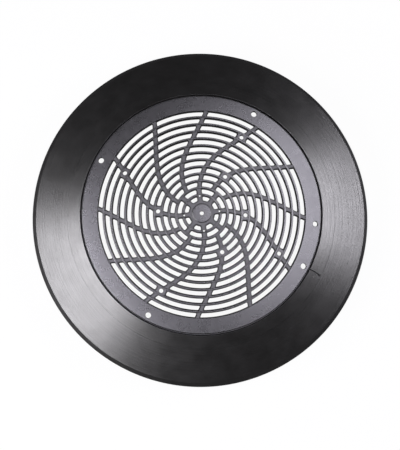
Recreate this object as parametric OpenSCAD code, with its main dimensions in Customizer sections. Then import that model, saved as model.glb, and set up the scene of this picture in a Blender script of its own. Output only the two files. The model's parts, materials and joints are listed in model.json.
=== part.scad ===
// Motor fan cover: a one-piece black moulding. A flat plate carries an air grille of concentric
// rings on S-shaped spokes, and a conical skirt runs back from the plate to a straight collar.
// The cover stands on the collar's edge, with the grille facing up along +Z.

/* [Shell] */
// Radial width of the flat plate, from the grille opening to the groove
flange_w = 13.2; // [11:0.1:20]
// Radial width of the conical skirt, from the groove to the flank
cone_run = 42; // [30:0.1:70]
// Drop of the skirt, from the plate to the flank
cone_drop = 23.5; // [15:0.5:40]
// Radial width of the steep flank, from the skirt to the collar
flank_run = 4.3; // [2:0.1:8]
// Drop of the steep flank
flank_drop = 5.5; // [3:0.1:10]
// Height of the straight collar, from its edge to the flank
collar_h = 16; // [10:0.5:40]
// Thickness of the skirt, the flank and the collar
wall = 2.8; // [2:0.1:4]
// Thickness of the flat plate and the grille
plate_t = 3.8; // [3:0.1:5]

/* [Skirt marks] */
// Width of the groove between plate and skirt
groove_w = 1.6; // [1:0.1:3]
// Depth of the groove
groove_d = 2.2; // [0.8:0.1:2.4]
// Radial distance of the fine line on the skirt from the groove
line_run = 11.8; // [8:0.1:20]
// Width of the fine line
line_w = 0.6; // [0.4:0.1:1]
// Depth of the fine line
line_d = 0.3; // [0.2:0.05:0.6]
// Radial length of the slit that runs out from the groove
slit_run = 11; // [5:0.1:14]
// Width of the slit
slit_w = 1.1; // [0.6:0.1:2]
// Depth of the slit where it leaves the groove
slit_d = 1.4; // [0.6:0.1:2]
// Direction of the slit
slit_angle = 332.4; // [0:0.1:360]

/* [Grille rings] */
// Number of rings
ring_count = 12; // [8:1:14]
// Mean radius of the innermost ring
first_ring_r = 15.5; // [14:0.1:20]
// Radial pitch of the rings
ring_pitch = 6; // [5:0.1:8]
// Width of a ring at its face
ring_face_w = 1.5; // [0.8:0.1:1.8]
// Width of a ring at its back
ring_back_w = 2.8; // [1.8:0.1:3.2]

/* [Grille spokes] */
// Number of S-shaped spokes
spoke_count = 12; // [8:1:16]
// Width of an S-shaped spoke
spoke_w = 4; // [2:0.1:5]
// How far the spokes lie below the ring faces
spoke_drop = 1; // [0.8:0.1:1.6]
// How far the spokes lie above the ring backs
spoke_lift = 0.4; // [0.2:0.1:1]
// Direction of the first spoke half way along its S
spoke_angle = 48.4; // [0:0.1:360]
// Angle that a spoke turns through at most
spoke_turn = 69; // [20:1:90]
// Length over which a spoke makes its bend
spoke_bend = 27; // [15:0.5:50]
// Number of straight spokes round the hub
hub_spoke_count = 8; // [6:2:10]
// Width of a straight spoke
hub_spoke_w = 4.6; // [2.5:0.1:5.5]
// Direction of the first straight spoke
hub_spoke_angle = 7; // [0:0.1:45]

/* [Hub] */
// Diameter of the hub at the level of the spokes
hub_d = 22; // [18:0.1:24]
// Diameter of the raised disc on the hub
hub_disc_d = 15.8; // [10:0.1:17]
// Bevel round the raised disc
hub_bevel = 0.6; // [0.3:0.1:0.8]

/* [Holes] */
// Diameter of the fixing screw holes in the plate
screw_d = 4.8; // [3:0.1:6]
// Number of fixing screw holes
screw_count = 4; // [3:1:6]
// Distance of the fixing screw holes from the groove
screw_inset = 4.3; // [4:0.1:6]
// Direction of the first fixing screw hole
screw_angle = 62.4; // [0:0.1:90]
// Diameter of the single extra hole on the same circle
extra_d = 4.4; // [3:0.1:6]
// Direction of the single extra hole
extra_angle = 354.7; // [0:0.1:360]
// Length of a hole pad along its slot
pad_l = 9.8; // [7:0.1:12]
// How far the pads lie below the ring faces
pad_drop = 0.6; // [0.3:0.1:0.7]
// Diameter of the pad holes
pad_hole_d = 3.6; // [2:0.1:4.5]
// Slot of the outer four pads, counted from the hub
outer_pad_slot = 10; // [8:1:11]
// Slot of the inner four pads, counted from the hub
inner_pad_slot = 4; // [3:1:6]
// Diameter of the centre hole
centre_d = 3.5; // [2:0.1:6]
// Diameter of the pin holes where straight spokes cross the innermost ring
pin_d = 1.6; // [1:0.1:2]
// Distance of the pin holes inside the innermost ring's middle
pin_inset = 0.7; // [0:0.1:1.2]

/* [Hidden] */
$fn = 96;
// Straight pieces along a spoke
spoke_steps = 14;
// Overlap that makes a cut run clear of a face
clear = 1;
// How deep a spoke's end is buried in what carries it
bury = 1;

opening_r = ring_r(ring_count) - ring_back_w / 2;
opening_face_r = ring_r(ring_count) - ring_face_w / 2;
plate_r = opening_r + flange_w;
cone_r = plate_r + groove_w;
edge_r = cone_r + cone_run;
rim_r = edge_r + flank_run;
edge_z = collar_h + flank_drop;
face_z = edge_z + cone_drop;
back_z = face_z - plate_t;
spoke_z = face_z - spoke_drop;
spoke_back_z = back_z + spoke_lift;
pad_z = face_z - pad_drop;
slope = atan2(cone_drop, cone_run);
flank_slope = atan2(flank_drop, flank_run);
under_r = cone_r + (plate_t * cos(slope) - wall) / sin(slope);
line_r = cone_r + line_run;
screw_r = plate_r - screw_inset;
spoke_mid_r = (ring_r(0) + ring_r(ring_count - 1)) / 2;
spoke_from_r = ring_r(1);
spoke_to_r = opening_r + bury;
outer_pads = [for (k = [0:3]) 1 + 3 * k];
inner_pads = [0, 4, 8, 10];

// Mean radius of a ring, counted from the hub
function ring_r(k) = first_ring_r + k * ring_pitch;

// Middle radius of a slot, counted from the hub
function slot_r(k) = ring_r(k) - ring_pitch / 2;

// Height of the skirt's outer face at a radius
function cone_z(r) = face_z - (r - cone_r) * tan(slope);

// Inside corner that keeps the wall's thickness where two slopes meet at an outside corner
function inside_corner(r, z, slope_in, slope_out) =
    let (mean = (slope_in + slope_out) / 2)
    [r, z] - wall / cos((slope_out - slope_in) / 2) * [sin(mean), cos(mean)];

// Direction of the first spoke at a radius: an S that turns over at the middle of the rings
function spoke_dir(r) = spoke_angle - spoke_turn * atan((r - spoke_mid_r) / spoke_bend) / 180;

// Point on the first spoke's middle line at a radius
function spoke_point(r) = r * [cos(spoke_dir(r)), sin(spoke_dir(r))];

// Unit vector across the first spoke at a radius
function spoke_across(r) =
    let (t = spoke_point(r + 0.01) - spoke_point(r - 0.01))
    [-t.y, t.x] / norm(t);

// One edge of the first spoke, on the side that the sign gives
function spoke_edge(side) = [
    for (i = [0:spoke_steps])
        let (r = spoke_from_r + (spoke_to_r - spoke_from_r) * i / spoke_steps)
        spoke_point(r) + side * spoke_w / 2 * spoke_across(r)
];

function reversed(list) = [for (i = [len(list) - 1:-1:0]) list[i]];

// Section of plate, groove, skirt, flank and collar
module shell() {
    rotate_extrude()
        polygon([
            [opening_face_r, face_z],
            [plate_r, face_z],
            [plate_r, face_z - groove_d],
            [cone_r, face_z - groove_d],
            [cone_r, face_z],
            [line_r - line_w / 2, cone_z(line_r - line_w / 2)],
            [line_r, cone_z(line_r) - line_d],
            [line_r + line_w / 2, cone_z(line_r + line_w / 2)],
            [edge_r, edge_z],
            [rim_r, collar_h],
            [rim_r, 0],
            [rim_r - wall, 0],
            inside_corner(rim_r, collar_h, flank_slope, 90),
            inside_corner(edge_r, edge_z, slope, flank_slope),
            [under_r, back_z],
            [opening_r, back_z]
        ]);
}

// The ring whose number is given, narrower at its face than at its back
module ring(k) {
    rotate_extrude()
        translate([ring_r(k), 0])
            polygon([
                [-ring_back_w / 2, back_z],
                [ring_back_w / 2, back_z],
                [ring_face_w / 2, face_z],
                [-ring_face_w / 2, face_z]
            ]);
}

module spoke() {
    translate([0, 0, spoke_back_z])
        linear_extrude(spoke_z - spoke_back_z)
            polygon(concat(spoke_edge(1), reversed(spoke_edge(-1))));
}

// Straight spoke along +X, from inside the hub to the second ring
module hub_spoke() {
    from_r = hub_d / 2 - bury;
    translate([from_r, -hub_spoke_w / 2, spoke_back_z])
        cube([ring_r(1) - from_r, hub_spoke_w, spoke_z - spoke_back_z]);
}

module hub() {
    translate([0, 0, back_z])
        cylinder(d = hub_d, h = spoke_z - back_z);
    translate([0, 0, back_z])
        cylinder(d = hub_disc_d, h = plate_t - hub_bevel);
    translate([0, 0, face_z - hub_bevel])
        cylinder(d1 = hub_disc_d, d2 = hub_disc_d - 2 * hub_bevel, h = hub_bevel);
}

// Pad that fills a stretch of a slot, from ring to ring, centred on +X
module pad(slot) {
    span = pad_l / slot_r(slot) * 180 / PI;
    rotate(-span / 2)
        rotate_extrude(angle = span)
            translate([ring_r(slot - 1), back_z])
                square([ring_pitch, pad_z - back_z]);
}

// Places its children on the first spoke's copies whose numbers are listed, in a slot
module on_spokes(list, slot) {
    for (k = list)
        rotate(spoke_dir(slot_r(slot)) + k * 360 / spoke_count)
            children();
}

// Round cut through the plate's thickness, along +Z, at a radius on +X
module drill(d, r) {
    translate([r, 0, back_z - clear])
        cylinder(d = d, h = plate_t + 2 * clear);
}

// Wedge that leaves a slit in the skirt, deep at the groove and running out at the skirt's face
module slit() {
    rotate(slit_angle)
        rotate([90, 0, 0])
            translate([0, 0, -slit_w / 2])
                linear_extrude(slit_w)
                    polygon([
                        [cone_r - groove_w / 2, face_z - slit_d],
                        [cone_r, face_z - slit_d],
                        [cone_r + slit_run, cone_z(cone_r + slit_run)],
                        [cone_r + slit_run, face_z + clear],
                        [cone_r - groove_w / 2, face_z + clear]
                    ]);
}

module grille() {
    for (k = [0:ring_count - 1])
        ring(k);
    for (k = [0:spoke_count - 1])
        rotate(k * 360 / spoke_count)
            spoke();
    for (k = [0:hub_spoke_count - 1])
        rotate(hub_spoke_angle + k * 360 / hub_spoke_count)
            hub_spoke();
    hub();
    on_spokes(outer_pads, outer_pad_slot)
        pad(outer_pad_slot);
    on_spokes(inner_pads, inner_pad_slot)
        pad(inner_pad_slot);
}

module holes() {
    drill(centre_d, 0);
    for (k = [0:screw_count - 1])
        rotate(screw_angle + k * 360 / screw_count)
            drill(screw_d, screw_r);
    rotate(extra_angle)
        drill(extra_d, screw_r);
    on_spokes(outer_pads, outer_pad_slot)
        drill(pad_hole_d, slot_r(outer_pad_slot));
    on_spokes(inner_pads, inner_pad_slot)
        drill(pad_hole_d, slot_r(inner_pad_slot));
    for (k = [0:2:hub_spoke_count - 1])
        rotate(hub_spoke_angle + k * 360 / hub_spoke_count)
            drill(pin_d, ring_r(0) - pin_inset);
}

module fan_cover() {
    color([0.1, 0.1, 0.11])
        difference() {
            union() {
                shell();
                grille();
            }
            holes();
            slit();
        }
}

fan_cover();
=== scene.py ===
"""Motor fan cover: a black moulding with a ring grille, modelled over its CAD frame, in a small studio.

The file is laid out as an add-on and is run as a script. Lengths are in metres, in the CAD model's own frame:
the cover stands on its collar's edge, and the grille's face looks up along +Z.
"""

import json
import math

import bmesh
import bpy
from bpy.props import FloatProperty, FloatVectorProperty, IntProperty, PointerProperty
from mathutils import Matrix, Vector

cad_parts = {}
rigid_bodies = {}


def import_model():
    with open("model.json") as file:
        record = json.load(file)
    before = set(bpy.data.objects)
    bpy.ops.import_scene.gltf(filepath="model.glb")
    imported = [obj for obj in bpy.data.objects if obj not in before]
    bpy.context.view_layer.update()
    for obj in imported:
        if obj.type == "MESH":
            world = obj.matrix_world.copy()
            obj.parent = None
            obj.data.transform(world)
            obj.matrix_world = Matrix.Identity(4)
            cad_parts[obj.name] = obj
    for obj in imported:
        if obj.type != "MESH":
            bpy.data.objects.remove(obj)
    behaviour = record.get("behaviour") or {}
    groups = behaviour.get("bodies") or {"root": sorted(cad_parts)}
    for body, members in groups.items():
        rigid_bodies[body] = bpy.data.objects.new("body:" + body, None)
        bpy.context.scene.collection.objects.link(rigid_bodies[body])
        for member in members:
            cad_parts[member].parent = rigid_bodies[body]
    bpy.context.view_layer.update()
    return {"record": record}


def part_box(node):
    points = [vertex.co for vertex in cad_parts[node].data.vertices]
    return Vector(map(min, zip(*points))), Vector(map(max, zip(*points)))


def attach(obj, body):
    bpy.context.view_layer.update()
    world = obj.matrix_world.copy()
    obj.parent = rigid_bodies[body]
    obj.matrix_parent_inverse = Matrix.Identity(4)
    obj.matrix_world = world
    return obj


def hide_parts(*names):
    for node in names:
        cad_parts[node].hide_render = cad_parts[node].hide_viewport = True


bl_info = {
    "name": "Motor fan cover",
    "version": (1, 0, 0),
    "blender": (4, 5, 0),
    "location": "View3D > Sidebar > Fan cover",
    "description": "Models a moulded motor fan cover over its CAD frame, with its finishes and a studio",
    "category": "Object",
}

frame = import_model()
FACE_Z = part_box("fan_cover")[1].z
MOUNTS = {mount["name"]: mount for mount in frame["record"]["mounts"]}
MM = 0.001
TURN = 2 * math.pi
PIECE = "fan_cover_moulding"

# Rows of slots that hold pads, counted from the hub, and the spokes that carry the pads in each
PADS = {10: (1, 4, 7, 10), 4: (0, 4, 8, 10)}

# Steps of a full turn. A ring has RING_STEPS to a quarter turn at the radius RING_STEPS_AT, and its steps
# grow with the root of its radius.
SHELL_STEPS, WEB_STEPS, HOLE_STEPS = 256, 192, 40
RING_STEPS, RING_STEPS_AT = 16, 10 * MM

# Steps of a corner's rounding, which are finer from a radius on
FINE_STEP, COARSE_STEP = math.radians(10), math.radians(24)
FINE_FROM = 2 * MM

# Distances at which vertices count as one, or as lying on a point
SAME = 1e-6
ON_POINT = 2e-6

# How far pieces reach past each other, or stop short, so that they join and cut cleanly
CLEAR = MM  # cutters past what they cut
WEB_LAP = 2.1 * MM  # the spokes' disc into the plate, past the opening at its back
PLATE_LAP = 0.6 * MM  # the outermost slots past the opening at the plate's face
SLOT_RISE = 0.2 * MM  # the slots above the spokes' faces
RING_GAP = 0.05 * MM  # a slot short of the middle of a ring
PAD_GAP = 0.5 * MM  # a pad short of the ring pitch
PAD_PLAY = 0.06 * MM  # a pad short of the stretch that the slots leave for it

# Details of the grille
HUB_ROWS = 2  # rows of slots between the hub's straight spokes
HUB_STEP = 0.3 * MM  # the hub's back short of the hub's radius
HUB_ROUND = 0.3 * MM
RING_BACK_ROUND = 0.2 * MM
OUTLINE_SPAN = 4 * MM  # longest straight piece of a slot's outline along a ring
SQUARE_REACH = 1.1  # how far a corner's rounding reaches along a ring, in radii
LEANING_REACH = (0.8, 2.0)  # the same at the first and the last corner beside a leaning spoke

# Finishes
NOISE_LOW, NOISE_HIGH = 0.3, 0.7  # the middle of a noise's range
STREAK_TURN = 2.5  # size of the turn in the streaks' noise: the smaller, the longer the streaks
MIX_FACTOR, MIX_A, MIX_B, MIX_RESULT = 0, 6, 7, 2  # sockets of a Mix node for colours
SMOOTH_ANGLE = math.radians(28)

# Studio: each lamp's direction and height in degrees, its size and its colour
PANELS = {
    "left_panel": (203.4, 26.5, (1.07, 0.57), (1.0, 0.98, 1.02)),
    "right_panel": (9.5, 26.5, (0.8, 0.45), (1.0, 0.975, 1.04)),
    "overhead_strip": (203.0, 71.0, (0.6, 0.16), (1.0, 0.965, 1.1)),
    "overhead_panel": (26.0, 74.0, (0.46, 0.47), (1.0, 0.965, 1.1)),
}
PANEL_DISTANCE = 1.1
FLOOR_SIZE = 12
FLOOR_DARK, FLOOR_LIGHT = (0.02, 0.02, 0.02, 1), (0.85, 0.85, 0.85, 1)
FLOOR_GLOW = 0.94  # share of its own light in the floor that the camera sees
FLOOR_GLOSS = 0.02  # share of the white floor that shows in reflections
CAMERA_PLACE = (-0.01268, -0.05167, 0.4957 + FACE_Z)
CAMERA_RIGHT = Vector((0.99975, 0, 0.02241))
CAMERA_BACK = Vector((-0.02233, -0.08381, 0.99623))


def length(name, description, default):
    """A length that a user may change."""
    return FloatProperty(
        name=name, description=description, default=default, unit="LENGTH", precision=5)


def angle(name, description, degrees):
    """An angle that a user may change."""
    return FloatProperty(
        name=name, description=description, default=math.radians(degrees), subtype="ANGLE")


def tone(name, description, default):
    """A colour that a user may change."""
    return FloatVectorProperty(
        name=name, description=description, default=default, size=3, min=0, max=1, subtype="COLOR")


def fraction(name, description, default):
    """A number from 0 to 1 that a user may change."""
    return FloatProperty(
        name=name, description=description, default=default, min=0, max=1, subtype="FACTOR")


def watts(name, description, default):
    """A lamp's power that a user may change."""
    return FloatProperty(name=name, description=description, default=default, unit="POWER")


def mount_size(mount, key):
    """A length that the record gives for a mount."""
    return MOUNTS[mount]["dims"][key] * MM


class ShellSizes(bpy.types.PropertyGroup):
    """Sizes of the plate, the skirt and the collar."""

    opening_radius: length("Opening radius", "Radius of the plate's opening at its back", 0.0861)
    opening_face: length("Opening at the face", "Radius of the plate's opening at its face", 0.08675)
    plate_radius: length("Plate radius", "Outer radius of the flat plate", 0.0991)
    plate_thickness: length("Plate thickness", "Thickness of the flat plate", 0.0038)
    groove_width: length("Groove width", "Width of the groove between plate and skirt", 0.0018)
    groove_depth: length("Groove depth", "Depth of the groove between plate and skirt", 0.003)
    groove_floor: length("Groove floor", "Width of the groove at its floor", 0.0003)
    skirt_radius: length("Skirt radius", "Radius of the edge where the skirt meets the steep flank", 0.1429)
    skirt_height: length("Skirt height", "Height of the edge where the skirt meets the steep flank", 0.0215)
    rim_radius: length("Rim radius", "Outer radius of the collar", 0.1472)
    collar_height: length("Collar height", "Height of the collar up to the flank", 0.016)
    wall: length("Wall", "Thickness of the skirt, the flank and the collar", 0.0028)
    line_radius: length("Line radius", "Radius of the fine step that runs round the skirt", 0.1127)
    line_width: length("Line width", "Width of the fine step on the skirt", 0.00022)
    line_depth: length("Line depth", "Drop of the fine step on the skirt", 0.00028)
    edge_round: length("Edge rounding", "Rounding of the moulding's outer edges", 0.0004)
    plate_round: length("Plate rounding", "Rounding of the plate's outer edge", 0.0005)
    slit_length: length("Slit length", "Length of the slit that runs out from the groove", 0.011)
    slit_width: length("Slit width", "Width of the slit", 0.0014)
    slit_depth: length("Slit depth", "Depth of the slit at the groove", 0.0024)
    slit_end: length("Slit end", "Depth of the slit at its outer end", 0.0014)
    slit_angle: angle("Slit direction", "Direction of the slit", 332.4)


class GrilleSizes(bpy.types.PropertyGroup):
    """Sizes of the rings, the spokes, the hub and the pads."""

    ring_count: IntProperty(name="Rings", description="Number of rings", default=12, min=4)
    first_ring: length("First ring", "Mean radius of the innermost ring", 0.0155)
    ring_pitch: length("Ring pitch", "Distance from ring to ring", 0.006)
    ring_face: length("Ring face", "Width of a ring at its face", 0.0013)
    ring_back: length("Ring back", "Width of a ring at its back", 0.0028)
    ring_round: length("Ring rounding", "Rounding of a ring's edges at its face", 0.00035)
    spoke_count: IntProperty(name="Spokes", description="Number of S-shaped spokes", default=12, min=4)
    spoke_width: length("Spoke width", "Width of an S-shaped spoke at its back", 0.004)
    spoke_draft: length("Spoke draft", "How far a spoke's sides draw in from its back to its face", 0.0008)
    spoke_drop: length("Spoke drop", "How far the spokes lie below the ring faces", 0.001)
    spoke_lift: length("Spoke lift", "How far the spokes lie above the ring backs", 0.0004)
    spoke_angle: angle("Spoke direction", "Direction of the first spoke half way along its S", 48.4)
    spoke_turn: angle("Spoke turn", "Angle that a spoke turns through at most", 69)
    spoke_bend: length("Spoke bend", "Length over which a spoke makes its bend", 0.027)
    spoke_bevel: length("Spoke bevel", "Bevel along the upper edges of the spokes", 0.00015)
    slot_round: length("Slot rounding", "Radius of a slot's corners at the S-shaped spokes", 0.0022)
    hub_slot_round: length("Hub slot rounding", "Radius of a slot's corners at the hub's spokes", 0.0023)
    pad_slot_round: length("Pad slot rounding", "Radius of a slot's corners at the pads", 0.0024)
    hub_spoke_count: IntProperty(name="Hub spokes", description="Number of straight spokes", default=8, min=3)
    hub_spoke_width: length("Hub spoke width", "Width of a straight spoke at its back", 0.0046)
    hub_spoke_angle: angle("Hub spoke direction", "Direction of the first straight spoke", 7)
    hub_radius: length("Hub radius", "Radius of the hub at its back", 0.011)
    disc_radius: length("Disc radius", "Radius of the raised disc on the hub", 0.0079)
    disc_bevel: length("Disc bevel", "Bevel round the raised disc", 0.0006)
    pad_length: length("Pad length", "Length of a holed pad along its slot, at its back", 0.0098)
    pad_drop: length("Pad drop", "How far the pads lie below the ring faces", 0.0006)
    pad_bevel: length("Pad bevel", "Rounding of the pads' upper edges", 0.00025)


class HoleSizes(bpy.types.PropertyGroup):
    """Sizes of the round holes."""

    screw_radius: length(
        "Screw hole", "Radius of the fixing screw holes", mount_size("fixing_screws", "hole_r_mm"))
    screw_circle: length(
        "Screw circle", "Radius of the screw holes' circle", mount_size("fixing_screws", "pcd_mm") / 2)
    screw_angle: angle("Screw direction", "Direction of the first fixing screw hole", 62.4)
    mark_radius: length("Seat radius", "Radius of the shallow seat round a fixing screw hole", 0.0054)
    mark_depth: length("Seat depth", "Depth of the shallow seat round a fixing screw hole", 0.00008)
    extra_radius: length(
        "Extra hole", "Radius of the single extra hole", mount_size("extra_plate_hole", "r_mm"))
    extra_angle: angle("Extra direction", "Direction of the single extra hole", 354.7)
    pad_radius: length(
        "Pad hole", "Radius of the pads' holes", mount_size("outer_accessory_screws", "hole_r_mm"))
    centre_radius: length(
        "Centre hole", "Radius of the centre hole", mount_size("centre_hole", "r_mm"))
    pin_radius: length(
        "Pin hole", "Radius of the pin holes at the hub", mount_size("hub_pins", "hole_r_mm"))
    pin_circle: length(
        "Pin circle", "Radius of the pin holes' circle", mount_size("hub_pins", "pcd_mm") / 2)
    hole_bevel: length("Hole bevel", "Bevel round the holes' mouths", 0.00025)


class FinishSettings(bpy.types.PropertyGroup):
    """Colours and gloss of the plastic."""

    skirt_colour: tone("Skirt colour", "Colour of the satin skirt and collar", (0.0042, 0.004, 0.0036))
    plate_colour: tone("Plate colour", "Colour of the matt plate and grille", (0.0082, 0.008, 0.0084))
    skirt_roughness: fraction("Skirt roughness", "Roughness of the satin skirt", 0.4)
    plate_roughness: fraction("Plate roughness", "Roughness of the matt plate and grille", 0.28)
    gloss_index: FloatProperty(
        name="Gloss", description="Index of refraction of the plastic's dense black skin",
        default=1.7, min=1, max=3)


class StudioSettings(bpy.types.PropertyGroup):
    """Camera and lamps."""

    lens: FloatProperty(name="Lens", description="Focal length of the camera", default=54, unit="CAMERA")
    left_panel: watts("Left panel", "Power of the upright light panel on the left", 14.4)
    right_panel: watts("Right panel", "Power of the upright light panel on the right", 9.0)
    overhead_strip: watts("Overhead strip", "Power of the strip light over the left side", 3.1)
    overhead_panel: watts("Overhead panel", "Power of the panel over the right side", 2.6)
    room: FloatProperty(name="Room light", description="Brightness of the room", default=0.02, min=0)


# Drawing with operators


def begin(name, point):
    """Adds an object that holds one vertex, and leaves it in edit mode with that vertex selected."""
    bpy.ops.object.select_all(action="DESELECT")
    bpy.ops.mesh.primitive_plane_add(size=MM)
    piece = bpy.context.active_object
    piece.name = piece.data.name = name
    bpy.ops.object.mode_set(mode="EDIT")
    bpy.ops.mesh.merge(type="CENTER")
    bpy.ops.transform.translate(value=point)
    return piece


def begin_again(point):
    """Adds one more vertex to the mesh in edit mode, and selects only that."""
    bpy.ops.mesh.select_all(action="DESELECT")
    bpy.ops.mesh.primitive_plane_add(size=MM)
    bpy.ops.mesh.merge(type="CENTER")
    bpy.ops.transform.translate(value=point)


def go_on(piece, name, point):
    """Starts a piece at a point or, once it has been started, goes on with it at one more point."""
    if piece is None:
        return begin(name, point)
    begin_again(point)
    return piece


def end(piece):
    """Leaves edit mode, with only this piece selected and active."""
    bpy.ops.object.mode_set(mode="OBJECT")
    bpy.ops.object.select_all(action="DESELECT")
    piece.select_set(True)
    bpy.context.view_layer.objects.active = piece
    return piece


def pick(piece, kind, test):
    """Selects the vertices, edges or faces that pass a test, and nothing else."""
    bpy.ops.mesh.select_all(action="DESELECT")
    bpy.context.tool_settings.mesh_select_mode = (kind == "verts", kind == "edges", kind == "faces")
    mesh = bmesh.from_edit_mesh(piece.data)
    found = 0
    for item in getattr(mesh, kind):
        if test(item):
            item.select_set(True)
            found += 1
    mesh.select_flush_mode()
    bmesh.update_edit_mesh(piece.data)
    return found


def pick_points(piece, points):
    """Selects the vertices that lie on the points."""
    found = pick(piece, "verts", lambda v: any((v.co - p).length < ON_POINT for p in points))
    if found != len(points):
        raise RuntimeError(f"{piece.name}: {found} vertices found on {len(points)} points")


def draw_line(points):
    """Draws a line from the selected vertex, which lies on the first point, through the others."""
    for here, there in zip(points, points[1:]):
        bpy.ops.mesh.extrude_region_move(TRANSFORM_OT_translate={"value": there - here})


def draw_loop(piece, points, rounds):
    """Draws a closed line from the selected vertex through the points, and rounds corners by their number."""
    draw_line(points)
    pick_points(piece, [points[0], points[-1]])
    bpy.ops.mesh.edge_face_add()
    for n, radius in rounds.items():
        before = (points[n - 1] - points[n]).normalized()
        after = (points[(n + 1) % len(points)] - points[n]).normalized()
        turn = before.angle(after)
        step = FINE_STEP if radius > FINE_FROM else COARSE_STEP
        segments = max(2, math.ceil((math.pi - turn) / step))
        offset = radius / math.tan(turn / 2)
        pick_points(piece, [points[n]])
        bpy.ops.mesh.bevel(offset=offset, segments=segments, affect="VERTICES", clamp_overlap=False)


def draw_section(piece, name, corners):
    """Draws a closed line through corners given as radius, height and rounding, and selects it."""
    points = [Vector((r, 0, z)) for r, z, _ in corners]
    piece = go_on(piece, name, points[0])
    draw_loop(piece, points, {n: radius for n, (_, _, radius) in enumerate(corners) if radius})
    bpy.ops.mesh.select_linked()
    return piece


def lathe(piece, steps, centre=(0, 0, 0)):
    """Turns the selected line once round an upright axis into a closed surface."""
    bpy.ops.mesh.spin(steps=steps, angle=TURN, center=centre, axis=(0, 0, 1))
    bpy.ops.mesh.select_linked()
    bpy.ops.mesh.remove_doubles(threshold=SAME)
    bpy.ops.mesh.normals_make_consistent(inside=False)


def copy_round(count, turn):
    """Copies what is selected round the fan's axis, counter-clockwise, count times over the turn."""
    bpy.ops.mesh.spin(steps=count, angle=-turn, dupli=True, center=(0, 0, 0), axis=(0, 0, 1))


def copy_from(piece, place, reach, turns):
    """Copies what stands near a place round the fan's axis, once for each turn."""
    for turn in turns:
        if not pick(piece, "verts", lambda v: (v.co.xy - place.xy).length < reach):
            raise RuntimeError(f"{piece.name}: nothing stands at {place[:]}")
        copy_round(1, turn)


def combine(base, other, operation):
    """Joins a closed piece to the base or cuts it out of it, and deletes the other."""
    end(base)
    bpy.ops.object.modifier_add(type="BOOLEAN")
    step = base.modifiers[-1]
    step.operation, step.solver, step.object = operation, "MANIFOLD", other
    bpy.ops.object.modifier_apply(modifier=step.name)
    bpy.data.objects.remove(other)
    mesh = bmesh.new()
    mesh.from_mesh(base.data)
    still_open = sum(not edge.is_manifold for edge in mesh.edges)
    mesh.free()
    if still_open or not base.data.polygons:
        raise RuntimeError(f"{base.name}: {still_open} open edges after {operation.lower()}")


def polar(radius, direction, z=0.0):
    """Point at a radius and direction round the fan's axis."""
    return Vector((radius * math.cos(direction), radius * math.sin(direction), z))


# Places that several pieces share


def ring_radius(grille, k):
    """Mean radius of a ring, counted from the hub."""
    return grille.first_ring + k * grille.ring_pitch


def spoke_direction(grille, r):
    """Direction of the first S-shaped spoke at a radius, and how fast it changes there."""
    middle = (ring_radius(grille, 0) + ring_radius(grille, grille.ring_count - 1)) / 2
    share = grille.spoke_turn / math.pi
    out = (r - middle) / grille.spoke_bend
    return grille.spoke_angle - share * math.atan(out), -share / grille.spoke_bend / (1 + out * out)


def pad_places(grille):
    """Radius of the outer and the inner pads, direction of the first one, and turns from it to the others."""
    step = TURN / grille.spoke_count
    for slot, spokes in PADS.items():
        r = ring_radius(grille, slot) - grille.ring_pitch / 2
        first = spoke_direction(grille, r)[0] + spokes[0] * step
        yield r, first, [(k - spokes[0]) * step for k in spokes[1:]]


class FANCOVER_OT_shell(bpy.types.Operator):
    """Turns the plate, groove, skirt, flank and collar from their section"""

    bl_idname = "fan_cover.shell"
    bl_label = "Plate, skirt and collar"

    def execute(self, context):
        s = context.scene.fan_shell
        back = FACE_Z - s.plate_thickness
        skirt = s.plate_radius + s.groove_width
        slope = math.atan2(FACE_Z - s.skirt_height, s.skirt_radius - skirt)
        flank = math.atan2(s.skirt_height - s.collar_height, s.rim_radius - s.skirt_radius)

        def skirt_z(r):
            """Height of the skirt's face at a radius."""
            return FACE_Z - (r - skirt) * math.tan(slope)

        def inside(r, z, first, second):
            """Corner of the inner wall behind a corner of the outer one, between two slopes."""
            reach = s.wall / math.cos((second - first) / 2)
            mean = (first + second) / 2
            return r - reach * math.sin(mean), z - reach * math.cos(mean)

        under = skirt + (s.plate_thickness * math.cos(slope) - s.wall) / math.sin(slope)
        half = s.line_width / 2
        draw_in = (s.groove_width - s.groove_floor) / 2
        lip, brim, edge, knee, bend = (s.edge_round * share for share in (0.3, 0.6, 1, 2, 3))
        piece = draw_section(None, PIECE, [
            (s.opening_face, FACE_Z, brim),
            (s.plate_radius, FACE_Z, s.plate_round),
            (s.plate_radius + draw_in, FACE_Z - s.groove_depth, 0),
            (skirt - draw_in, FACE_Z - s.groove_depth, 0),
            (skirt, FACE_Z, lip),
            (s.line_radius - half, skirt_z(s.line_radius - half), 0),
            (s.line_radius + half, skirt_z(s.line_radius + half) - s.line_depth, 0),
            (s.skirt_radius, s.skirt_height - s.line_depth, knee),
            (s.rim_radius, s.collar_height, bend),
            (s.rim_radius, 0, edge),
            (s.rim_radius - s.wall, 0, edge),
            (*inside(s.rim_radius, s.collar_height, flank, TURN / 4), bend),
            (*inside(s.skirt_radius, s.skirt_height, slope, flank), bend),
            (under, back, bend),
            (s.opening_radius, back, brim),
        ])
        lathe(piece, SHELL_STEPS)
        end(piece)
        return {"FINISHED"}


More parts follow.
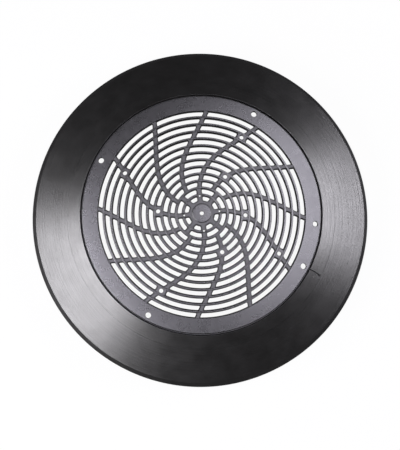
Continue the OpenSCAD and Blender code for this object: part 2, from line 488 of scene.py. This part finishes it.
class FANCOVER_OT_web(bpy.types.Operator):
    """Turns the hub and a disc at the spokes' level, cuts the slots between the spokes, and joins it on"""

    bl_idname = "fan_cover.web"
    bl_label = "Hub and spokes"

    def execute(self, context):
        g, s, holes = context.scene.fan_grille, context.scene.fan_shell, context.scene.fan_holes
        top, back = FACE_Z - g.spoke_drop, FACE_Z - s.plate_thickness
        low = back + g.spoke_lift
        inner, outer = g.hub_radius - HUB_STEP, s.opening_radius + WEB_LAP
        web = draw_section(None, "web", [
            (holes.centre_radius, FACE_Z, holes.hole_bevel),
            (g.disc_radius, FACE_Z, g.disc_bevel),
            (g.disc_radius, top, HUB_ROUND),
            (outer, top, 0),
            (outer, low, 0),
            (inner, low, 0),
            (inner, back, HUB_ROUND),
            (holes.centre_radius, back, holes.hole_bevel),
        ])
        lathe(web, WEB_STEPS)
        end(web)
        combine(web, self.slots(g, s, top, back), "DIFFERENCE")
        combine(bpy.data.objects[PIECE], web, "UNION")
        return {"FINISHED"}

    def slots(self, g, s, top, back):
        """The slots between rings, spokes and pads as closed solids, with the spokes' bevel and draft."""
        flare = SLOT_RISE + g.spoke_bevel
        level = top + SLOT_RISE
        slots = None
        for k in range(g.ring_count + 1):
            count = g.hub_spoke_count if k < HUB_ROWS else g.spoke_count
            for n in range(count) if k in PADS else (0,):
                points, rounds = self.outline(g, s, k, n, flare, level)
                slots = go_on(slots, "slots", points[0])
                draw_loop(slots, points, rounds)
                bpy.ops.mesh.select_linked()
                bpy.ops.mesh.edge_face_add()
            if k not in PADS:
                copy_round(count - 1, TURN * (count - 1) / count)
        bpy.context.tool_settings.mesh_select_mode = (False, False, True)
        bpy.ops.mesh.select_all(action="SELECT")
        bpy.ops.mesh.inset(thickness=flare, use_individual=True)
        bpy.ops.transform.translate(value=(0, 0, -flare))
        depth = level - flare - back + CLEAR
        draft = g.spoke_draft / (level - flare - back - g.spoke_lift)
        bpy.ops.mesh.inset(thickness=draft * depth, use_individual=True)
        bpy.ops.transform.translate(value=(0, 0, -depth))
        bpy.context.tool_settings.mesh_select_mode = (True, False, False)
        bpy.ops.mesh.select_all(action="SELECT")
        bpy.ops.mesh.fill_holes(sides=0)
        bpy.ops.mesh.select_all(action="SELECT")
        bpy.ops.mesh.normals_make_consistent(inside=False)
        return end(slots)

    def outline(self, g, s, k, n, flare, level):
        """Points round the n-th slot of row k, counter-clockwise, and the radii of its corners."""
        straight = k < HUB_ROWS
        step = TURN / (g.hub_spoke_count if straight else g.spoke_count)
        draw_in = flare + g.spoke_draft
        low = g.hub_radius - draw_in if k == 0 else ring_radius(g, k - 1) + RING_GAP
        high = ring_radius(g, k) - RING_GAP if k < g.ring_count else s.opening_face + PLATE_LAP + flare
        pad_half = g.pad_length / 2 - draw_in
        pad_direction = spoke_direction(g, ring_radius(g, k) - g.ring_pitch / 2)[0]

        def at_pad(m):
            """Whether the m-th spoke carries a pad in this row."""
            return m % g.spoke_count in PADS.get(k, ())

        def side(r, m, way):
            """Direction of the m-th spoke's or its pad's edge at a radius, on one side or the other."""
            if at_pad(m):
                return pad_direction + m * step + way * math.asin(pad_half / r)
            if straight:
                return g.hub_spoke_angle + m * step + way * math.asin((g.hub_spoke_width / 2 - draw_in) / r)
            middle, change = spoke_direction(g, r)
            return middle + m * step + way * (g.spoke_width / 2 - draw_in) * math.hypot(1, r * change) / r

        points, rounds = [], {}
        for r, way in ((low, 1), (high, -1)):
            first, last = (side(r, n, 1), side(r, n + 1, -1))[::way]
            radii = [g.pad_slot_round if at_pad(m) else g.hub_slot_round if straight else g.slot_round
                     for m in (n, n + 1)[::way]]
            reach = [radius * (SQUARE_REACH if straight or radius == g.pad_slot_round else lean)
                     for radius, lean in zip(radii, LEANING_REACH)]
            start, stop = first + way * reach[0] / r, last - way * reach[1] / r
            spans = math.ceil(max(0, way * (stop - start) * r) / OUTLINE_SPAN)
            steps = range(spans + 1) if spans else ()
            between = [start + (stop - start) * i / spans for i in steps]
            rounds[len(points)] = radii[0]
            points += [polar(r, direction, level) for direction in (first, *between, last)]
            rounds[len(points) - 1] = radii[1]
        return points, rounds


class FANCOVER_OT_rings(bpy.types.Operator):
    """Turns the grille's rings, narrower at the face than at the back, and joins them on"""

    bl_idname = "fan_cover.rings"
    bl_label = "Grille rings"

    def execute(self, context):
        g, s = context.scene.fan_grille, context.scene.fan_shell
        back = FACE_Z - s.plate_thickness
        rings = None
        for k in range(g.ring_count):
            r = ring_radius(g, k)
            rings = draw_section(rings, "rings", [
                (r - g.ring_back / 2, back, RING_BACK_ROUND),
                (r + g.ring_back / 2, back, RING_BACK_ROUND),
                (r + g.ring_face / 2, FACE_Z, g.ring_round),
                (r - g.ring_face / 2, FACE_Z, g.ring_round),
            ])
            lathe(rings, 4 * round(RING_STEPS * math.sqrt(r / RING_STEPS_AT)))
        end(rings)
        combine(bpy.data.objects[PIECE], rings, "UNION")
        return {"FINISHED"}


class FANCOVER_OT_pads(bpy.types.Operator):
    """Models the holed pads that fill a stretch of a slot, and joins them on"""

    bl_idname = "fan_cover.pads"
    bl_label = "Pads"

    def execute(self, context):
        g, s = context.scene.fan_grille, context.scene.fan_shell
        back, top = FACE_Z - s.plate_thickness, FACE_Z - g.pad_drop
        for r, direction, turns in pad_places(g):
            bpy.ops.object.select_all(action="DESELECT")
            bpy.ops.mesh.primitive_cube_add(size=1)
            pads = bpy.context.active_object
            bpy.ops.object.mode_set(mode="EDIT")
            across = g.pad_length - 2 * g.spoke_draft - PAD_PLAY
            bpy.ops.transform.resize(value=(g.ring_pitch - PAD_GAP, across, top - back))
            bpy.ops.transform.translate(value=(r, 0, (top + back) / 2))
            pick(pads, "edges", lambda e: min(v.co.z for v in e.verts) > top - SAME)
            bpy.ops.mesh.bevel(offset=g.pad_bevel, segments=3)
            bpy.ops.mesh.select_all(action="SELECT")
            bpy.ops.transform.rotate(value=-direction, orient_axis="Z", center_override=(0, 0, 0))
            copy_from(pads, polar(r, direction), g.pad_length, turns)
            end(pads)
            combine(bpy.data.objects[PIECE], pads, "UNION")
        return {"FINISHED"}


class FANCOVER_OT_holes(bpy.types.Operator):
    """Drills the round holes with bevelled mouths and cuts the slit in the skirt"""

    bl_idname = "fan_cover.holes"
    bl_label = "Holes and slit"

    def execute(self, context):
        g, s, h = context.scene.fan_grille, context.scene.fan_shell, context.scene.fan_holes
        back = FACE_Z - s.plate_thickness
        quarters = [TURN / 4, TURN / 2, TURN * 3 / 4]
        jobs = [
            (h.screw_radius, h.screw_circle, h.screw_angle, quarters, FACE_Z, h.mark_radius),
            (h.extra_radius, h.screw_circle, h.extra_angle, [], FACE_Z, None),
            (h.pin_radius, h.pin_circle, g.hub_spoke_angle, quarters, FACE_Z - g.spoke_drop, None),
        ]
        jobs += [(h.pad_radius, r, direction, turns, FACE_Z - g.pad_drop, None)
                 for r, direction, turns in pad_places(g)]
        cutters = None
        for radius, circle, direction, turns, top, mark in jobs:
            wide = radius + h.hole_bevel + CLEAR
            profile = [(0, back - CLEAR), (wide, back - CLEAR),
                       (radius, back + h.hole_bevel), (radius, top - h.hole_bevel)]
            if mark:
                seat = top - h.mark_depth
                profile += [(radius + h.hole_bevel - h.mark_depth, seat), (mark, seat),
                            (mark + CLEAR, top + CLEAR)]
            else:
                profile.append((wide, top + CLEAR))
            profile.append((0, top + CLEAR))
            centre = polar(circle, direction)
            points = [centre + Vector((r, 0, z)) for r, z in profile]
            cutters = go_on(cutters, "cutters", points[0])
            draw_line(points)
            bpy.ops.mesh.select_linked()
            lathe(cutters, HOLE_STEPS, centre)
            copy_from(cutters, centre, (mark or radius) + 2 * CLEAR, turns)
        end(cutters)
        combine(bpy.data.objects[PIECE], cutters, "DIFFERENCE")
        combine(bpy.data.objects[PIECE], self.slit(s), "DIFFERENCE")
        return {"FINISHED"}

    def slit(self, s):
        """The wedge that leaves the slit: deep at the groove, and shallower at its outer end."""
        skirt = s.plate_radius + s.groove_width
        slope = (FACE_Z - s.skirt_height) / (s.skirt_radius - skirt)
        across = polar(s.slit_width, s.slit_angle + TURN / 4)
        near, far = skirt - s.groove_width / 2, skirt + s.slit_length
        profile = [
            (near, FACE_Z - s.slit_depth),
            (skirt, FACE_Z - s.slit_depth),
            (far, FACE_Z - s.slit_length * slope - s.slit_end),
            (far, FACE_Z + CLEAR),
            (near, FACE_Z + CLEAR),
        ]
        points = [polar(r, s.slit_angle, z) - across / 2 for r, z in profile]
        wedge = begin("slit", points[0])
        draw_loop(wedge, points, {})
        bpy.ops.mesh.select_all(action="SELECT")
        bpy.ops.mesh.edge_face_add()
        bpy.ops.mesh.extrude_region_move(TRANSFORM_OT_translate={"value": across})
        bpy.ops.mesh.select_all(action="SELECT")
        bpy.ops.mesh.normals_make_consistent(inside=False)
        return end(wedge)


# Materials


def new_plastic(name, index):
    """A material with a Principled shader for glossy plastic, its tree and its shader node."""
    made = bpy.data.materials.new(name)
    made.use_nodes = True
    shader = made.node_tree.nodes["Principled BSDF"]
    shader.inputs["IOR"].default_value = index
    shader.inputs["Specular IOR Level"].default_value = 1.0
    return made, made.node_tree, shader


def add_node(tree, kind, **values):
    """A node with some of its attributes and input values set."""
    made = tree.nodes.new(kind)
    for name, value in values.items():
        if hasattr(made, name):
            setattr(made, name, value)
        else:
            made.inputs[name.replace("_", " ").title()].default_value = value
    return made


def math_node(tree, operation, *values):
    """A Math node on numbers or sockets, and its output."""
    made = tree.nodes.new("ShaderNodeMath")
    made.operation = operation
    for socket, value in zip(made.inputs, values):
        if isinstance(value, (int, float)):
            socket.default_value = value
        else:
            tree.links.new(value, socket)
    return made.outputs[0]


def blend_node(tree, noise, middle, spread):
    """A number that a noise takes up or down from its middle by at most a spread, and its output."""
    made = add_node(tree, "ShaderNodeMapRange", from_min=NOISE_LOW, from_max=NOISE_HIGH,
                    to_min=middle - spread, to_max=middle + spread)
    tree.links.new(noise, made.inputs["Value"])
    return made.outputs["Result"]


def seen_factor(tree):
    """A number that is 1 for what the camera sees and else 0, and the node that tells rays apart."""
    rays = tree.nodes.new("ShaderNodeLightPath")
    kinds = [rays.outputs[name] for name in ("Is Camera Ray", "Is Transmission Ray")]
    return math_node(tree, "MAXIMUM", *kinds), rays


def mix_shaders(tree, factor, first, second):
    """A Mix Shader node, and its output."""
    mix = tree.nodes.new("ShaderNodeMixShader")
    for socket, value in zip(mix.inputs, (factor, first.outputs[0], second.outputs[0])):
        tree.links.new(value, socket)
    return mix.outputs[0]


def grain_group():
    """Node group: the fine grain of a moulded surface, as a height and as a cloudy mottle."""
    group = bpy.data.node_groups.new("Moulded grain", "ShaderNodeTree")
    for name, default in (("Grain size", 0.6 * MM), ("Cloud size", 6 * MM)):
        socket = group.interface.new_socket(name, in_out="INPUT", socket_type="NodeSocketFloat")
        socket.default_value = default
    for name in ("Height", "Mottle"):
        group.interface.new_socket(name, in_out="OUTPUT", socket_type="NodeSocketFloat")
    inside = group.nodes.new("NodeGroupInput")
    out = group.nodes.new("NodeGroupOutput")
    place = group.nodes.new("ShaderNodeTexCoord")
    fine = add_node(group, "ShaderNodeTexNoise", detail=3.0, roughness=0.6)
    group.links.new(place.outputs["Object"], fine.inputs["Vector"])
    group.links.new(math_node(group, "DIVIDE", 1.0, inside.outputs["Grain size"]), fine.inputs["Scale"])
    cloud = add_node(group, "ShaderNodeTexNoise", detail=4.0, roughness=0.55)
    group.links.new(place.outputs["Object"], cloud.inputs["Vector"])
    group.links.new(math_node(group, "DIVIDE", 1.0, inside.outputs["Cloud size"]), cloud.inputs["Scale"])
    group.links.new(fine.outputs["Fac"], out.inputs["Height"])
    group.links.new(cloud.outputs["Fac"], out.inputs["Mottle"])
    return group


def streak_group():
    """Node group: faint streaks that run round the fan's axis, as a mask."""
    group = bpy.data.node_groups.new("Round streaks", "ShaderNodeTree")
    socket = group.interface.new_socket("Streak width", in_out="INPUT", socket_type="NodeSocketFloat")
    socket.default_value = 0.8 * MM
    group.interface.new_socket("Streak", in_out="OUTPUT", socket_type="NodeSocketFloat")
    inside = group.nodes.new("NodeGroupInput")
    out = group.nodes.new("NodeGroupOutput")
    place = group.nodes.new("ShaderNodeTexCoord")
    apart = group.nodes.new("ShaderNodeSeparateXYZ")
    group.links.new(place.outputs["Object"], apart.inputs[0])
    x, y, z = apart.outputs
    squares = [math_node(group, "MULTIPLY", value, value) for value in (x, y)]
    radius = math_node(group, "SQRT", math_node(group, "ADD", *squares))
    outward = math_node(group, "SUBTRACT", radius, z)
    across = math_node(group, "DIVIDE", outward, inside.outputs["Streak width"])
    along = math_node(group, "MULTIPLY", STREAK_TURN, math_node(group, "DIVIDE", x, radius))
    aside = math_node(group, "MULTIPLY", STREAK_TURN, math_node(group, "DIVIDE", y, radius))
    joined = group.nodes.new("ShaderNodeCombineXYZ")
    for socket, value in zip(joined.inputs, (across, along, aside)):
        group.links.new(value, socket)
    noise = add_node(group, "ShaderNodeTexNoise", scale=1.0, detail=3.0, roughness=0.6)
    group.links.new(joined.outputs[0], noise.inputs["Vector"])
    group.links.new(noise.outputs["Fac"], out.inputs["Streak"])
    return group


def place_group(tree, group, **values):
    """A node that places a node group in a material, with its own values."""
    made = tree.nodes.new("ShaderNodeGroup")
    made.node_tree = group
    for name, value in values.items():
        made.inputs[name.replace("_", " ").capitalize()].default_value = value
    return made


def tint(tree, factor, colour, share):
    """A colour that the factor makes a share darker or lighter, and its output."""
    made = tree.nodes.new("ShaderNodeMix")
    made.data_type = "RGBA"
    tree.links.new(factor, made.inputs[MIX_FACTOR])
    for socket, value in ((MIX_A, 1 - share), (MIX_B, 1 + share)):
        made.inputs[socket].default_value = (*[c * value for c in colour], 1)
    return made.outputs[MIX_RESULT]


def add_bump(tree, shader, height, strength, distance):
    """A bump on the shader's normal."""
    bump = tree.nodes.new("ShaderNodeBump")
    bump.inputs["Strength"].default_value = strength
    bump.inputs["Distance"].default_value = distance
    tree.links.new(height, bump.inputs["Height"])
    tree.links.new(bump.outputs["Normal"], shader.inputs["Normal"])


def satin_skirt(finish, grain, streaks):
    """Satin black plastic, with faint streaks that run round the skirt."""
    made, tree, shader = new_plastic("satin_black_skirt", finish.gloss_index)
    fine = place_group(tree, grain, grain_size=0.35 * MM, cloud_size=14 * MM)
    round_marks = place_group(tree, streaks, streak_width=1.6 * MM)
    mottle, grain_share = fine.outputs["Mottle"], 0.1
    tree.links.new(tint(tree, mottle, finish.skirt_colour, share=0.25), shader.inputs["Base Color"])
    rough = blend_node(tree, mottle, finish.skirt_roughness, spread=0.03)
    tree.links.new(rough, shader.inputs["Roughness"])
    height = math_node(
        tree, "MULTIPLY_ADD", fine.outputs["Height"], grain_share, round_marks.outputs["Streak"])
    add_bump(tree, shader, height, strength=1.0, distance=0.14 * MM)
    return made


def matt_plate(finish, grain):
    """Matt black plastic with the fine grain of a spark-eroded mould, duller on the sunk spokes."""
    made, tree, shader = new_plastic("matt_black_plate", finish.gloss_index)
    fine = place_group(tree, grain, grain_size=1.1 * MM, cloud_size=6 * MM)
    mottle = fine.outputs["Mottle"]
    tree.links.new(tint(tree, mottle, finish.plate_colour, share=0.3), shader.inputs["Base Color"])
    place = add_node(tree, "ShaderNodeSeparateXYZ")
    tree.links.new(add_node(tree, "ShaderNodeTexCoord").outputs["Object"], place.inputs["Vector"])
    sunk = add_node(tree, "ShaderNodeMapRange", from_min=FACE_Z - 0.9 * MM, from_max=FACE_Z - 0.3 * MM,
                    to_min=0.2, to_max=0.0)
    tree.links.new(place.outputs["Z"], sunk.inputs["Value"])
    rough = blend_node(tree, mottle, finish.plate_roughness, spread=0.02)
    tree.links.new(math_node(tree, "ADD", rough, sunk.outputs["Result"]), shader.inputs["Roughness"])
    add_bump(tree, shader, fine.outputs["Height"], strength=0.7, distance=0.06 * MM)
    return made


class FANCOVER_OT_finish(bpy.types.Operator):
    """Gives the moulding its two finishes and its shading, and puts it in place of the CAD node"""

    bl_idname = "fan_cover.finish"
    bl_label = "Finish"

    def execute(self, context):
        s, finish = context.scene.fan_shell, context.scene.fan_finish
        piece = bpy.data.objects[PIECE]
        grain, streaks = grain_group(), streak_group()
        piece.data.materials.clear()
        piece.data.materials.append(matt_plate(finish, grain))
        piece.data.materials.append(satin_skirt(finish, grain, streaks))
        bpy.ops.object.mode_set(mode="EDIT")
        groove = s.plate_radius + s.groove_width / 2
        pick(piece, "faces", lambda f: f.calc_center_median().xy.length > groove)
        piece.active_material_index = 1
        bpy.ops.object.material_slot_assign()
        end(piece)
        bpy.ops.object.shade_smooth_by_angle(angle=SMOOTH_ANGLE)
        bpy.ops.object.modifier_add(type="WEIGHTED_NORMAL")
        piece.modifiers[-1].keep_sharp = True
        bpy.ops.object.modifier_apply(modifier=piece.modifiers[-1].name)
        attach(piece, "root")
        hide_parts("fan_cover")
        return {"FINISHED"}


class FANCOVER_OT_stage(bpy.types.Operator):
    """Sets up the floor, the light panels, the room and the camera"""

    bl_idname = "fan_cover.stage"
    bl_label = "Studio"

    def execute(self, context):
        studio = context.scene.fan_studio
        self.floor()
        for name, values in PANELS.items():
            self.panel(name, getattr(studio, name), *values)
        self.room(context.scene, studio.room)
        self.camera(context.scene, studio.lens)
        context.scene.view_settings.view_transform = "Standard"
        return {"FINISHED"}

    def floor(self):
        """Lays a floor that is white to the camera and dark to nearly all else."""
        bpy.ops.object.select_all(action="DESELECT")
        bpy.ops.mesh.primitive_plane_add(size=FLOOR_SIZE)
        floor = bpy.context.active_object
        floor.name = floor.data.name = "studio_floor"
        made = bpy.data.materials.new("white_floor")
        made.use_nodes = True
        tree = made.node_tree
        tree.nodes.remove(tree.nodes["Principled BSDF"])
        seen, rays = seen_factor(tree)
        mirrored = math_node(tree, "MULTIPLY", rays.outputs["Is Glossy Ray"], FLOOR_GLOSS)
        seen = math_node(tree, "MAXIMUM", seen, mirrored)
        paper = tree.nodes.new("ShaderNodeMix")
        paper.data_type = "RGBA"
        paper.inputs[MIX_A].default_value = FLOOR_DARK
        paper.inputs[MIX_B].default_value = FLOOR_LIGHT
        tree.links.new(seen, paper.inputs[MIX_FACTOR])
        card = tree.nodes.new("ShaderNodeBsdfDiffuse")
        tree.links.new(paper.outputs[MIX_RESULT], card.inputs["Color"])
        white = tree.nodes.new("ShaderNodeEmission")
        surface = mix_shaders(tree, math_node(tree, "MULTIPLY", seen, FLOOR_GLOW), card, white)
        tree.links.new(surface, tree.nodes["Material Output"].inputs["Surface"])
        floor.data.materials.append(made)

    def panel(self, name, power, azimuth, elevation, size, colour):
        """A soft light panel that faces the cover from a direction in degrees."""
        upright = math.radians(elevation)
        way = polar(math.cos(upright), math.radians(azimuth), math.sin(upright))
        bpy.ops.object.light_add(type="AREA", location=way * PANEL_DISTANCE + Vector((0, 0, FACE_Z)))
        lamp = bpy.context.active_object
        lamp.name = lamp.data.name = name
        lamp.rotation_euler = (-way).to_track_quat("-Z", "Y").to_euler()
        lamp.data.shape = "RECTANGLE"
        lamp.data.size, lamp.data.size_y = size
        lamp.data.energy = power
        lamp.data.color = colour
        lamp.visible_camera = False

    def room(self, scene, level):
        """Lights the room dimly, but shows it white to the camera."""
        world = scene.world or bpy.data.worlds.new("room")
        scene.world = world
        world.use_nodes = True
        tree = world.node_tree
        tree.nodes.clear()
        dim = add_node(tree, "ShaderNodeBackground", strength=level)
        white = add_node(tree, "ShaderNodeBackground", strength=1.0)
        for node in (dim, white):
            node.inputs["Color"].default_value = (1, 1, 1, 1)
        surface = mix_shaders(tree, seen_factor(tree)[0], dim, white)
        tree.links.new(surface, tree.nodes.new("ShaderNodeOutputWorld").inputs["Surface"])

    def camera(self, scene, lens):
        """Adds the camera, at the place that was fitted to the photo."""
        bpy.ops.object.camera_add()
        camera = bpy.context.active_object
        camera.name = camera.data.name = "photo_camera"
        camera.data.lens = lens
        camera.data.sensor_width = 36
        camera.data.sensor_fit = "HORIZONTAL"
        camera.data.clip_start, camera.data.clip_end = 0.01, 50
        back = CAMERA_BACK.normalized()
        up = back.cross(CAMERA_RIGHT).normalized()
        right = up.cross(back)
        turn = Matrix((right, up, back)).transposed().to_4x4()
        camera.matrix_world = Matrix.Translation(CAMERA_PLACE) @ turn
        scene.camera = camera


class FANCOVER_PT_panel(bpy.types.Panel):
    """Lists the sizes and the steps in the 3D view's sidebar"""

    bl_idname = "FANCOVER_PT_panel"
    bl_label = "Motor fan cover"
    bl_space_type = "VIEW_3D"
    bl_region_type = "UI"
    bl_category = "Fan cover"

    def draw(self, context):
        for step in STEPS:
            self.layout.operator(step.bl_idname)
        for name in GROUPS:
            settings = getattr(context.scene, name)
            box = self.layout.box()
            for key in settings.__annotations__:
                box.prop(settings, key)


GROUPS = {
    "fan_shell": ShellSizes,
    "fan_grille": GrilleSizes,
    "fan_holes": HoleSizes,
    "fan_finish": FinishSettings,
    "fan_studio": StudioSettings,
}
STEPS = (
    FANCOVER_OT_shell,
    FANCOVER_OT_web,
    FANCOVER_OT_rings,
    FANCOVER_OT_pads,
    FANCOVER_OT_holes,
    FANCOVER_OT_finish,
    FANCOVER_OT_stage,
)


def register():
    """Registers the settings, the steps and the panel."""
    for name, group in GROUPS.items():
        bpy.utils.register_class(group)
        setattr(bpy.types.Scene, name, PointerProperty(type=group))
    for made in (*STEPS, FANCOVER_PT_panel):
        bpy.utils.register_class(made)


def unregister():
    """Takes the panel, the steps and the settings out again."""
    for made in (FANCOVER_PT_panel, *reversed(STEPS)):
        bpy.utils.unregister_class(made)
    for name, group in reversed(GROUPS.items()):
        delattr(bpy.types.Scene, name)
        bpy.utils.unregister_class(group)


def main():
    """Models the cover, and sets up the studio."""
    register()
    bpy.ops.fan_cover.shell()
    bpy.ops.fan_cover.web()
    bpy.ops.fan_cover.rings()
    bpy.ops.fan_cover.pads()
    bpy.ops.fan_cover.holes()
    bpy.ops.fan_cover.finish()
    bpy.ops.fan_cover.stage()


if __name__ == "__main__":
    main()
